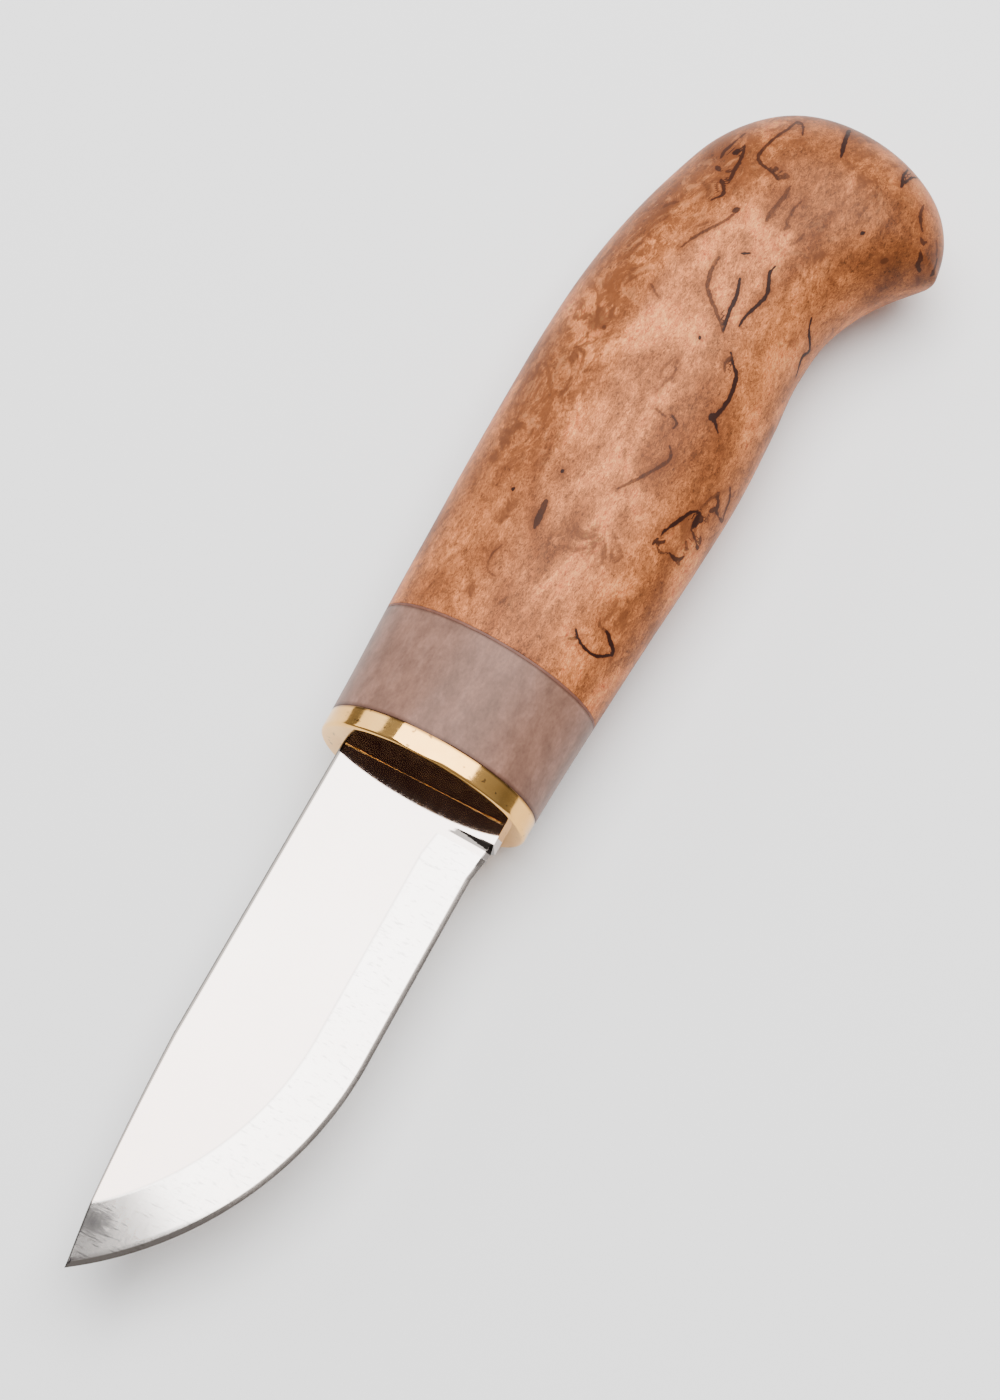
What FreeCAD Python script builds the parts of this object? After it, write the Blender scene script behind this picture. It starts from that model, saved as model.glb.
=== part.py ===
import FreeCAD, Part
import Sketcher
import os

# Stick-tang belt knife of the puukko type, lying on its right side.
# +X runs from the blade's tip to the butt of the handle, +Y from the cutting edge to the spine and
# +Z up through the thickness. The origin is the bottom centre of the whole knife's box.
# "Station" means distance along +X behind the blade's shoulders; "up" and "down" are measured
# across the knife from the blade's axis, towards the spine and towards the edge.

# ---------------------------------------------------------------- driving dimensions, mm and degrees
DIMS = {
    "blade_len": 76.0,         # shoulders to tip
    "blade_thick": 3.6,
    "spine_up": 13.4,
    "spine_drop_from": 44.0,   # in front of this the spine falls to the tip
    "tip_up": 10.8,
    "edge_down": 10.1,
    "belly_from": 36.5,        # in front of this the edge sweeps up to the tip
    "ricasso_len": 3.6,
    "ricasso_down": 10.9,
    "notch_len": 5.0,          # slope from the ricasso's corner up to the edge
    "bevel_width": 7.0,
    "bevel_depth": 1.62,
    "seam_tilt": 2.2,          # shoulders and bolster lean this much off square to the spine
    "liner_tilt": 3.8,         # the antler's back face and the liner lean a little more
    "tang_thick": 3.2,
    "tang_up": 8.8,
    "tang_down": 7.1,
    "tang_end_up": 5.0,
    "tang_end_down": 3.6,
    "tang_len": 84.0,
    "bed_gap": 0.5,            # epoxy all round the tang
    "bolster_thick": 3.1,
    "bolster_round": 0.6,
    "antler_len": 15.5,
    "liner_thick": 0.4,
    "side_flat": 11.2,         # half thickness where the handle's sides are sanded flat
    "end_station": 114.8,
    "end_down": 4.6,
}

# Oval sections of the handle: station, up, down, half thickness.
GRIP_SECTIONS = {
    "front": (-4.0, 16.9, 13.5, 11.5),
    "collar": (8.0, 17.1, 13.9, 11.2),
    "ring": (20.0, 17.6, 14.6, 10.7),
    "neck": (32.0, 17.9, 15.4, 10.6),
    "grip": (44.0, 18.2, 16.3, 10.7),
    "palm": (56.0, 18.3, 16.9, 11.1),
    "swell": (67.0, 18.2, 16.6, 11.4),
    "waist": (77.0, 17.6, 16.1, 11.5),
    "flare": (85.5, 16.4, 17.3, 11.3),
    "neck_of_beak": (92.5, 14.9, 20.8, 11.0),
    "beak": (98.7, 13.2, 26.2, 10.6),
}
BUTT_SECTIONS = {
    "dome_a": (104.0, 11.2, 25.0, 10.1),
    "dome_b": (108.5, 8.3, 22.0, 8.4),
    "dome_c": (112.0, 4.6, 17.0, 6.0),
    "dome_d": (114.0, 0.6, 11.5, 3.3),
}

SLAB_WIDE = 90.0
SLAB_HIGH = 60.0

# Formulas for the frame's origin, seen from the blade's axis at the shoulders.
ORIGIN_X = "(($end_station - $blade_len) / 2)"
ORIGIN_Y = "(($palm_up - $beak_down) / 2)"
ORIGIN_Z = "($side_flat)"
LEAN = "tan($seam_tilt)"

doc = FreeCAD.newDocument("Puukko")

# ---------------------------------------------------------------- the sheet
cells = dict(DIMS)
for name, (station, up, down, half) in {**GRIP_SECTIONS, **BUTT_SECTIONS}.items():
    cells[name + "_station"] = station
    cells[name + "_up"] = up
    cells[name + "_down"] = down
    cells[name + "_half"] = half

sheet = doc.addObject("Spreadsheet::Sheet", "Dims")
for row, (alias, value) in enumerate(cells.items(), start=1):
    sheet.set("A%d" % row, alias)
    sheet.set("B%d" % row, str(value))
    sheet.setAlias("B%d" % row, alias)
doc.recompute()

probe = doc.addObject("App::FeaturePython", "Probe")
probe.addProperty("App::PropertyFloat", "Value")


def dim(formula):
    """A formula with each $name turned into its cell on the sheet."""
    return formula.replace("$", "Dims.")


def value_of(formula):
    """The present value of a formula."""
    probe.setExpression("Value", dim(formula))
    probe.recompute()
    return probe.Value


def bind(obj, **formulas):
    """Tie each property to a formula; a double underscore stands for a dot."""
    for prop, formula in formulas.items():
        obj.setExpression(prop.replace("__", "."), dim(formula))


# ---------------------------------------------------------------- the handle's outer form
def oval(name):
    """One oval section standing square to X, its long axis along Y."""
    ring = doc.addObject("Part::Ellipse", "oval_" + name)
    ring.Placement = FreeCAD.Placement(
        FreeCAD.Vector(),
        FreeCAD.Rotation(FreeCAD.Vector(0, 1, 0), FreeCAD.Vector(0, 0, 1), FreeCAD.Vector(1, 0, 0), "ZXY"))
    bind(ring,
         MajorRadius="($%s_up + $%s_down) / 2" % (name, name),
         MinorRadius="$%s_half" % name,
         Placement__Base__x="$%s_station - %s" % (name, ORIGIN_X),
         Placement__Base__y="($%s_up - $%s_down) / 2 - %s" % (name, name, ORIGIN_Y),
         Placement__Base__z=ORIGIN_Z)
    return ring


def loft(name, sections):
    form = doc.addObject("Part::Loft", name)
    form.Sections = sections
    form.Solid = True
    form.Ruled = False
    return form


ovals = {name: oval(name) for name in [*GRIP_SECTIONS, *BUTT_SECTIONS]}
end_point = doc.addObject("Part::Vertex", "butt_end")
bind(end_point, X="$end_station - " + ORIGIN_X, Y="-$end_down - " + ORIGIN_Y, Z=ORIGIN_Z)
doc.recompute()

grip_form = loft("grip_form", [ovals[name] for name in GRIP_SECTIONS])
butt_form = loft("butt_form", [ovals["beak"]] + [ovals[name] for name in BUTT_SECTIONS] + [end_point])
whole_form = doc.addObject("Part::MultiFuse", "whole_form")
whole_form.Shapes = [grip_form, butt_form]

between_flats = doc.addObject("Part::Box", "between_flats")
between_flats.Length = 2 * SLAB_WIDE + SLAB_HIGH
between_flats.Width = SLAB_WIDE
between_flats.Placement.Base = FreeCAD.Vector(-SLAB_WIDE, -SLAB_WIDE / 2, 0)
bind(between_flats, Height="2 * $side_flat")

handle_form = doc.addObject("Part::Common", "handle_form")
handle_form.Base = whole_form
handle_form.Tool = between_flats
doc.recompute()


# ---------------------------------------------------------------- slabs and booleans
def slab(name, start, thick, tilt="$seam_tilt"):
    """A block from a start station along +X, its end faces leaning with the seams."""
    half = SLAB_WIDE / 2
    block = doc.addObject("Part::Box", name)
    block.Width = SLAB_WIDE
    block.Height = SLAB_HIGH
    block.Placement = FreeCAD.Placement(
        FreeCAD.Vector(), FreeCAD.Rotation(FreeCAD.Vector(0, 0, 1), -1))
    bind(block,
         Length=thick,
         Placement__Rotation__Angle="-" + tilt,
         Placement__Base__x="(%s) / cos(%s) - %g * sin(%s) - %s" % (start, tilt, half, tilt, ORIGIN_X),
         Placement__Base__y="-%g * cos(%s) - %s" % (half, tilt, ORIGIN_Y),
         Placement__Base__z="%s - %g" % (ORIGIN_Z, SLAB_HIGH / 2))
    return block


def boolean(kind, name, base, tool):
    result = doc.addObject("Part::" + kind, name)
    result.Label = name
    result.Base = base
    result.Tool = tool
    return result


# ---------------------------------------------------------------- bodies, sketches and pads
def new_body(name):
    """A body whose own origin is the blade's axis at the shoulders."""
    body = doc.addObject("PartDesign::Body", name)
    body.Label = name
    bind(body,
         Placement__Base__x="-" + ORIGIN_X,
         Placement__Base__y="-" + ORIGIN_Y,
         Placement__Base__z=ORIGIN_Z)
    return body


def level_arc(start, end):
    """The arc from start to end that lies level with X at its end."""
    along = start.x - end.x
    rise = start.y - end.y
    radius = (along * along + rise * rise) / (2 * rise)
    centre = FreeCAD.Vector(end.x, end.y + radius, 0)
    middle = centre + ((start + end) / 2 - centre).normalize() * radius
    return Part.Arc(start, middle, end)


def outline(body, name, corners, arc_at=None):
    """A closed outline on the body's XY plane, each corner a pair of formulas.

    The side that leaves corner arc_at is an arc, tangent to the side after it.
    """
    sketch = body.newObject("Sketcher::SketchObject", name)
    plane = [datum for datum in body.Origin.OriginFeatures if datum.Role == "XY_Plane"][0]
    sketch.AttachmentSupport = [(plane, "")]
    sketch.MapMode = "FlatFace"
    points = [FreeCAD.Vector(value_of(x), value_of(y), 0) for x, y in corners]
    count = len(points)
    starts = [1] * count
    ends = [2] * count
    for i, start in enumerate(points):
        end = points[(i + 1) % count]
        if i == arc_at:
            sketch.addGeometry(level_arc(start, end), False)
            drawn_forward = (sketch.getPoint(i, 1) - start).Length < 0.01
            starts[i], ends[i] = (1, 2) if drawn_forward else (2, 1)
        else:
            sketch.addGeometry(Part.LineSegment(start, end), False)
    for i in range(count):
        after = (i + 1) % count
        join = "Tangent" if i == arc_at else "Coincident"
        sketch.addConstraint(Sketcher.Constraint(join, i, ends[i], after, starts[after]))
    for i, (x, y) in enumerate(corners):
        for kind, formula, value in (("DistanceX", x, points[i].x), ("DistanceY", y, points[i].y)):
            index = sketch.addConstraint(Sketcher.Constraint(kind, -1, 1, i, starts[i], value))
            sketch.setExpression("Constraints[%d]" % index, dim(formula))
    return sketch


def pad(body, sketch, name, thick):
    """A pad of the sketch, half above and half below its plane."""
    feature = body.newObject("PartDesign::Pad", name)
    feature.Profile = sketch
    feature.Midplane = True
    bind(feature, Length=thick)
    body.Tip = feature
    doc.recompute()
    return feature


def at_station(along, down):
    """A point on the leaning seam at a station, as a pair of formulas."""
    return ("(%s) / cos($seam_tilt) + (%s) * %s" % (along, down, LEAN), down)


# ---------------------------------------------------------------- blade, with its hidden tang
blade = new_body("blade")
ground_outline = outline(blade, "ground_outline", [
    ("-$ricasso_len", "$spine_up"),
    ("-$spine_drop_from", "$spine_up"),
    ("-$blade_len", "$tip_up"),
    ("-$belly_from", "-$edge_down"),
    ("-$ricasso_len - $notch_len", "-$edge_down"),
    ("-$ricasso_len", "-$ricasso_down"),
], arc_at=2)
doc.recompute()
ground_pad = pad(blade, ground_outline, "ground_pad", "$blade_thick")


def cutting_edges(shape):
    """Names of the long edges on both flats that follow the cutting edge."""
    names = []
    flat = value_of("$blade_thick") / 2
    for i, edge in enumerate(shape.Edges, start=1):
        ends = [vertex.Point for vertex in edge.Vertexes]
        on_flat = all(abs(abs(point.z) - flat) < 0.01 for point in ends)
        level = abs(ends[0].z - ends[1].z) < 0.01
        curved = isinstance(edge.Curve, Part.Circle)
        below = max(point.y for point in ends) < 0 and abs(ends[0].x - ends[1].x) > 1
        if on_flat and level and (curved or below):
            names.append("Edge%d" % i)
    return names


bevel = blade.newObject("PartDesign::Chamfer", "bevel")
bevel.Base = (ground_pad, cutting_edges(ground_pad.Shape))
bevel.ChamferType = 1
bind(bevel, Size="$bevel_depth", Size2="$bevel_width")
blade.Tip = bevel
doc.recompute()

ricasso_outline = outline(blade, "ricasso_outline", [
    at_station("0", "$spine_up"),
    ("-$ricasso_len", "$spine_up"),
    ("-$ricasso_len", "-$ricasso_down"),
    at_station("0", "-$ricasso_down"),
])
doc.recompute()
pad(blade, ricasso_outline, "ricasso_pad", "$blade_thick")

tang_outline = outline(blade, "tang_outline", [
    at_station("-0.5", "$tang_up"),
    at_station("-0.5", "-$tang_down"),
    ("$tang_len", "-$tang_end_down"),
    ("$tang_len", "$tang_end_up"),
])
doc.recompute()
pad(blade, tang_outline, "tang_pad", "$tang_thick")

# ---------------------------------------------------------------- the bore round the tang
bore = new_body("bore")
bore_outline = outline(bore, "bore_outline", [
    ("0", "-$tang_down - $bed_gap"),
    ("$tang_len + $bed_gap", "-$tang_end_down - $bed_gap"),
    ("$tang_len + $bed_gap", "$tang_end_up + $bed_gap"),
    ("0", "$tang_up + $bed_gap"),
])
doc.recompute()
pad(bore, bore_outline, "bore_pad", "$tang_thick + 2 * $bed_gap")

# ---------------------------------------------------------------- rings, handle and bedding
BACK_OF_BOLSTER = "$bolster_thick"
BACK_OF_ANTLER = "$bolster_thick + $antler_len"
BACK_OF_LINER = "$bolster_thick + $antler_len + $liner_thick"
PAST_THE_BUTT = "$end_station + 10"

bolster_blank = boolean(
    "Common", "bolster_blank", handle_form, slab("bolster_slab", "0", "$bolster_thick"))
behind_bolster = boolean(
    "Common", "behind_bolster", handle_form, slab("antler_slab", BACK_OF_BOLSTER, PAST_THE_BUTT))
antler_blank = boolean(
    "Cut", "antler_blank", behind_bolster, slab("behind_antler", BACK_OF_ANTLER, PAST_THE_BUTT, "$liner_tilt"))
liner_blank = boolean(
    "Common", "liner_blank", handle_form, slab("liner_slab", BACK_OF_ANTLER, "$liner_thick", "$liner_tilt"))
birch_blank = boolean(
    "Common", "birch_blank", handle_form, slab("birch_slab", BACK_OF_LINER, PAST_THE_BUTT, "$liner_tilt"))
bedding_blank = boolean(
    "Common", "bedding_blank", bore, slab("bedding_slab", BACK_OF_BOLSTER, PAST_THE_BUTT))
doc.recompute()


def rim_at(shape, station):
    """Indices of the outer rim's edges at a leaning station."""
    lean = value_of(LEAN)
    level = value_of("(%s) / cos($seam_tilt) - %s" % (station, ORIGIN_X))
    found = []
    for i, edge in enumerate(shape.Edges, start=1):
        points = edge.discretize(5)
        off = [point.x - level - (point.y + value_of(ORIGIN_Y)) * lean for point in points]
        if max(abs(gap) for gap in off) < 0.02:
            found.append(i)
    return found


def rounded(name, base, edges, radius):
    """The base with those edges rounded to the radius."""
    result = doc.addObject("Part::Fillet", name)
    result.Base = base
    result.Edges = [(index, radius, radius) for index in edges]
    return result


front_rim = rim_at(bolster_blank.Shape, "0")
bolster_round = rounded("bolster_round", bolster_blank, front_rim, DIMS["bolster_round"])
doc.recompute()
bolster = boolean("Cut", "bolster", bolster_round, blade)
antler_spacer = boolean("Cut", "antler_spacer", antler_blank, bore)
spacer_liner = boolean("Cut", "spacer_liner", liner_blank, bore)
birch_handle = boolean("Cut", "birch_handle", birch_blank, bore)
tang_bedding = boolean("Cut", "tang_bedding", bedding_blank, blade)
doc.recompute()

# ---------------------------------------------------------------- check and write
NODES = [blade, bolster, antler_spacer, spacer_liner, birch_handle, tang_bedding]
for obj in doc.Objects:
    if "Invalid" in obj.State or "Error" in obj.State:
        raise RuntimeError("%s did not recompute: %s" % (obj.Name, obj.State))
for node in NODES:
    if node.Shape.isNull() or not node.Shape.isValid():
        raise RuntimeError("%s has no valid shape" % node.Label)

os.makedirs("parts", exist_ok=True)
for node in NODES:
    node.Shape.exportStep("parts/%s.step" % node.Label)
    print("%-14s %8.1f mm3 %d solid" % (node.Label, node.Shape.Volume, len(node.Shape.Solids)))
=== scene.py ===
import math

import bmesh
import bpy
import numpy as np
from mathutils import Matrix, Vector


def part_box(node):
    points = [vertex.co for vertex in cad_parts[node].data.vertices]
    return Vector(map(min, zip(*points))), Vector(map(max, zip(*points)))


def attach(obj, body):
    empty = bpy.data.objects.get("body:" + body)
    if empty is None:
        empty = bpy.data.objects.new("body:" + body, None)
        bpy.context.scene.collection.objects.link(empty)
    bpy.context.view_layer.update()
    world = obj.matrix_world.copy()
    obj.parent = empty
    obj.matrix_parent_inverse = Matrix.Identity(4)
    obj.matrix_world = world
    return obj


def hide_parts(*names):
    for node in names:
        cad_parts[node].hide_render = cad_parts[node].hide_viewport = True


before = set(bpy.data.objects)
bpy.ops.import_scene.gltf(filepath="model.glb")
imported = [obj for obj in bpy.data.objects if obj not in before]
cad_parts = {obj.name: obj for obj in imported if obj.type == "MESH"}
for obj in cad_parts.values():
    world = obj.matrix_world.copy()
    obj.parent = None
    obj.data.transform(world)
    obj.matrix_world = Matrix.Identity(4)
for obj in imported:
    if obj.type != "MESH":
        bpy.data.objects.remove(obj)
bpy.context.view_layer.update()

MM = 0.001
TAU = 2 * math.pi

# ---------------------------------------------------------------- the knife's own axes, from the CAD
# A station is a distance in mm behind the blade's shoulders; up is towards the spine. The left side
# faces +Z. Sizes without a unit are in mm.
blade_low, blade_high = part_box("blade")
BLADE_LEN = 76.0
SPINE_UP = 13.4
LEAN = math.tan(math.radians(2.2))
LINER_LEAN = math.tan(math.radians(3.8))
BOLSTER_END = 3.1
ANTLER_END = BOLSTER_END + 15.5
LINER_END = ANTLER_END + 0.4
ZERO_X = blade_low[0] / MM + BLADE_LEN
ZERO_Y = blade_high[1] / MM - SPINE_UP
MID_Z = (blade_low[2] + blade_high[2]) / 2 / MM

# ---------------------------------------------------------------- the handle's section law
# Station, up, down and half thickness.
GRIP = np.array([
    (-4.0, 16.9, 13.5, 11.5),
    (8.0, 17.1, 13.9, 11.2),
    (20.0, 17.6, 14.6, 10.7),
    (32.0, 17.9, 15.4, 10.6),
    (44.0, 18.2, 16.3, 10.7),
    (56.0, 18.3, 16.9, 11.1),
    (67.0, 18.2, 16.6, 11.4),
    (77.0, 17.6, 16.1, 11.5),
    (85.5, 16.4, 17.3, 11.3),
    (92.5, 14.9, 20.8, 11.0),
    (98.7, 13.2, 26.2, 10.6),
])
BUTT = np.array([
    (98.7, 13.2, 26.2, 10.6),
    (104.0, 11.2, 25.0, 10.1),
    (108.5, 8.3, 22.0, 8.4),
    (112.0, 4.6, 17.0, 6.0),
    (114.0, 0.6, 11.5, 3.3),
    (114.8, -4.6, 4.6, 0.0),
])
BEAK = 98.7
BUTT_END = 114.8
SIDE_FLAT = 11.2
FLAT_EASE = 0.15          # how gently the sides run into the sanded flats
LEAN_FADES_OVER = 50.0    # the liner's lean dies out over this length of the handle


def smooth_through(table, at):
    """A smooth curve through each column of a table, at each place in its first column."""
    x, y = table[:, 0], table[:, 1:]
    step = np.diff(x)
    rise = np.diff(y, axis=0) / step[:, None]
    slope = np.empty_like(y)
    both = (step[1:] + step[:-1])[:, None]
    slope[1:-1] = (rise[:-1] * step[1:, None] + rise[1:] * step[:-1, None]) / both
    slope[0] = 1.5 * rise[0] - 0.5 * slope[1]
    slope[-1] = 1.5 * rise[-1] - 0.5 * slope[-2]
    i = np.clip(np.searchsorted(x, at) - 1, 0, len(x) - 2)
    w = step[i][:, None]
    t = ((at - x[i]) / step[i])[:, None]
    return ((2 * t**3 - 3 * t**2 + 1) * y[i] + (t**3 - 2 * t**2 + t) * w * slope[i]
            + (3 * t**2 - 2 * t**3) * y[i + 1] + (t**3 - t**2) * w * slope[i + 1])


def quarter_turned(at):
    """A butt station as the angle round the quarter turn to its end."""
    return np.arcsin(np.clip((at - BEAK) / (BUTT_END - BEAK), 0, 1))


BUTT_TURNED = np.column_stack([quarter_turned(BUTT[:, 0]), BUTT[:, 1:]])


def section(at):
    """Up, down and half thickness of the handle at each station."""
    rows = np.where((at <= BEAK)[:, None], smooth_through(GRIP, at),
                    smooth_through(BUTT_TURNED, quarter_turned(at)))
    return rows.T


def flattened(z):
    """Heights with the widest part of each side eased down to the sanded flats."""
    over = np.maximum(np.abs(z) - SIDE_FLAT + FLAT_EASE, 0)
    return np.sign(z) * (np.abs(z) - over * over / (over + FLAT_EASE))


def lean_at(station):
    """How far the sections lean: with the bolster, then with the liner, then less and less."""
    return np.interp(station, (BOLSTER_END, ANTLER_END, LINER_END, LINER_END + LEAN_FADES_OVER),
                     (LEAN, LINER_LEAN, LINER_LEAN, 0.0))


def oval(station, turn, inset=0.0):
    """One handle section. Turn 0 is the spine and a quarter turn is the left side, which is +Z."""
    at = np.full(len(turn), float(station))
    for _ in range(3):
        up, down, half = section(at)
        y = (up - down) / 2 + np.maximum((up + down) / 2 - inset, 0) * np.cos(turn)
        at = station + lean_at(station) * y
    z = flattened(np.maximum(half - inset, 0) * np.sin(turn))
    return np.stack([at + ZERO_X, y + ZERO_Y, z + MID_Z], axis=1)


TANG_LEN = 84.0
TANG_UP, TANG_END_UP = 8.8, 5.0
TANG_DOWN, TANG_END_DOWN = 7.1, 3.6
TANG_HALF = 1.6
BED_GAP = 0.5   # epoxy all round the tang


def tang_at(station, gap):
    """Up, down and half thickness of the tang with a gap round it."""
    far = station / TANG_LEN
    up = TANG_UP + (TANG_END_UP - TANG_UP) * far
    down = TANG_DOWN + (TANG_END_DOWN - TANG_DOWN) * far
    return up + gap, down + gap, TANG_HALF + gap


def slot(station, turn, gap):
    """The tang's slot at a station, its points in step with an oval's."""
    up, down, half = tang_at(station, gap)
    ca, sa = np.cos(turn), np.sin(turn)
    reach = 1 / np.maximum(np.abs(ca) / ((up + down) / 2), np.abs(sa) / half)
    y = (up - down) / 2 + reach * ca
    return np.stack([station + lean_at(station) * y + ZERO_X, y + ZERO_Y, reach * sa + MID_Z], axis=1)


# ---------------------------------------------------------------- mesh helpers
COLUMNS = 288
TURN = np.linspace(0, TAU, COLUMNS, endpoint=False)


def new_mesh(name, points, faces):
    """A smooth-shaded mesh object from points in mm, its normals facing out."""
    mesh = bpy.data.meshes.new(name)
    mesh.from_pydata([tuple(p) for p in np.asarray(points) * MM], [], faces)
    bm = bmesh.new()
    bm.from_mesh(mesh)
    bmesh.ops.remove_doubles(bm, verts=bm.verts, dist=2e-6)
    bmesh.ops.recalc_face_normals(bm, faces=bm.faces)
    bm.to_mesh(mesh)
    bm.free()
    mesh.shade_smooth()
    piece = bpy.data.objects.new(name, mesh)
    bpy.context.scene.collection.objects.link(piece)
    return piece


def skin(name, loops, close=False):
    """A tube through loops of points, either closed end to end or capped at both ends."""
    count = len(loops[0])
    faces = []
    last = len(loops) if close else len(loops) - 1
    for i in range(last):
        a, b = i * count, (i + 1) % len(loops) * count
        faces += [(a + j, b + j, b + (j + 1) % count, a + (j + 1) % count) for j in range(count)]
    if not close:
        faces.append(tuple(range(count)))
        faces.append(tuple(range((len(loops) - 1) * count, len(loops) * count)))
    return new_mesh(name, np.concatenate(loops), faces)


def crease(piece, degrees):
    """Faces that meet more sharply than the angle shade apart."""
    bm = bmesh.new()
    bm.from_mesh(piece.data)
    for edge in bm.edges:
        if len(edge.link_faces) == 2 and edge.calc_face_angle(0) > math.radians(degrees):
            edge.smooth = False
    bm.to_mesh(piece.data)
    bm.free()


def rounded_wall(start, end, front_round, back_round, step):
    """Loops round the front edge, along the wall and round the back edge."""
    turns = np.linspace(0, math.pi / 2, 8)
    front = [oval(start + front_round * (1 - math.cos(t)), TURN, front_round * (1 - math.sin(t)))
             for t in turns]
    places = np.arange(start + front_round + step, end - back_round - step / 2, step)
    along = [oval(at, TURN) for at in places]
    back = [oval(end - back_round * (1 - math.cos(t)), TURN, back_round * (1 - math.sin(t)))
            for t in turns[::-1]]
    return front + along + back


def vertex_places(mesh):
    """Each vertex's station, height and distance to the left."""
    flat = np.empty(len(mesh.vertices) * 3)
    mesh.vertices.foreach_get("co", flat)
    return flat.reshape(-1, 3) / MM - (ZERO_X, ZERO_Y, MID_Z)


def write_values(mesh, name, values):
    """One number for each vertex, for a material to read."""
    mesh.attributes.new(name, "FLOAT", "POINT").data.foreach_set("value", values)


def mark_seams(piece):
    """Write 1 on the rounded edges on each side of the antler, which the materials paint darker along
    the seams.
    """
    at = vertex_places(piece.data)
    near_front = np.abs(at[:, 0] - LEAN * at[:, 1] - BOLSTER_END) < 0.13
    near_back = np.abs(at[:, 0] - LINER_LEAN * at[:, 1] - (ANTLER_END + LINER_END) / 2) < 0.34
    write_values(piece.data, "seam", (near_front | near_back) * 1.0)


def between(a, b, parts):
    """Loops part of the way from loop a to loop b."""
    return [(1 - w) * a + w * b for w in parts]


def ring_piece(name, start, end, front_round, back_round, gap, step):
    """A ring of the handle with the tang's slot through it."""
    outer = rounded_wall(start, end, front_round, back_round, step)
    slot_back, slot_front = slot(end, TURN, gap), slot(start, TURN, gap)
    piece = skin(name, outer + between(outer[-1], slot_back, (0.2, 0.7)) + [slot_back, slot_front]
                 + between(slot_front, outer[0], (0.3, 0.8)), close=True)
    crease(piece, 40)
    return piece


# ---------------------------------------------------------------- bolster, antler and liner
bolster = ring_piece("bolster_plate", 0.0, BOLSTER_END, 0.55, 0.12, 0.0, 0.3)
antler = ring_piece("antler_ring", BOLSTER_END, ANTLER_END, 0.12, 0.07, BED_GAP, 0.5)
liner = ring_piece("fibre_liner", ANTLER_END, LINER_END, 0.03, 0.03, BED_GAP, 0.1)
mark_seams(bolster)
mark_seams(antler)


# ---------------------------------------------------------------- birch handle
def birch_loops():
    """The handle's outer loops from the liner to the butt, closer together round the beak."""
    loops = [oval(LINER_END + 0.1 * (1 - math.cos(t)), TURN, 0.1 * (1 - math.sin(t)))
             for t in np.linspace(0, math.pi / 2, 5)]
    for at in np.arange(LINER_END + 0.4, BEAK - 2.5, 0.34):
        loops.append(oval(at, TURN))
    turn_on = quarter_turned(np.array([BEAK + 2.5]))[0]
    over = BEAK + (BUTT_END - BEAK) * np.sin(np.linspace(turn_on, math.pi / 2 - 0.012, 70))
    for at in np.concatenate([np.arange(BEAK - 2.4, BEAK + 2.4, 0.15), over]):
        loops.append(oval(at, TURN))
    return loops


BEAK_LOOPS = 16     # loops on each side of the beak that are eased
BEAK_ROUNDS = 8     # how many times each is averaged with its neighbours


def eased_at_beak(loops):
    """The loops as one array, with the corner at the beak rounded off."""
    at = min(range(len(loops)), key=lambda i: abs(loops[i][0][0] - ZERO_X - BEAK))
    stack = np.array(loops)
    first, last = at - BEAK_LOOPS, at + BEAK_LOOPS
    for _ in range(BEAK_ROUNDS):
        stack[first:last] = (0.5 * stack[first:last] + 0.25 * stack[first - 1:last - 1]
                             + 0.25 * stack[first + 1:last + 1])
    return stack


birch_outside = eased_at_beak(birch_loops())
bore_front = slot(LINER_END, TURN, BED_GAP)
bore_back = slot(TANG_LEN + BED_GAP, TURN, BED_GAP)
front_face = between(bore_front, birch_outside[0], (0.25, 0.7))
birch = skin("birch_grip", [bore_back, bore_front] + front_face + list(birch_outside))
crease(birch, 55)


# ---------------------------------------------------------------- blade
THICK_HALF = 1.8
EDGE_DOWN, RICASSO_DOWN, RICASSO_LEN, NOTCH_LEN = 10.1, 10.9, 3.6, 5.0
BELLY_FROM, TIP_UP, SPINE_DROP_FROM = 36.5, 10.8, 44.0
BEVEL_WIDTH, EDGE_HALF = 7.0, 0.18
BEVEL_SLOPE = (THICK_HALF - EDGE_HALF) / BEVEL_WIDTH
HONED, HONED_HALF = 0.65, 0.03          # the honed edge: how deep, and half how thick where it ends
SPINE_BREAK, SPINE_LINE = 0.22, 0.42    # the broken edge of the spine and the painted dark reflection line along it
PLUNGE_SLOPE = 2.2                      # how steeply the bevel starts behind the ricasso
PLUNGE_CURVE, PLUNGE_RUN = 1.6, 3.4     # how far the plunge curves in, over what length
BURR = 0.13                             # the burr of brass where the blade's heel meets the bolster
SCUFF, SCUFF_REACH = (69.6, 10.2), 5.8  # the scuffed patch near the tip: in front, up and reach
DARKER_FROM = 30.0                      # painted shade: the flats are painted darker from here to the tip
BELLY_RADIUS = ((BLADE_LEN - BELLY_FROM)**2 + (TIP_UP + EDGE_DOWN)**2) / (2 * (TIP_UP + EDGE_DOWN))
BELLY_CENTRE = (BELLY_FROM, BELLY_RADIUS - EDGE_DOWN)


def spine_height(q):
    """Height of the spine at a distance q in front of the shoulders."""
    fall = np.clip((q - SPINE_DROP_FROM) / (BLADE_LEN - SPINE_DROP_FROM), 0, 1)
    return SPINE_UP - (SPINE_UP - TIP_UP) * fall * (0.55 + 0.45 * fall)


def straight_edge(q):
    """Height of the ricasso's corner, the notch and the straight part of the edge."""
    return -RICASSO_DOWN + (RICASSO_DOWN - EDGE_DOWN) * np.clip((q - RICASSO_LEN) / NOTCH_LEN, 0, 1)


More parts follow.
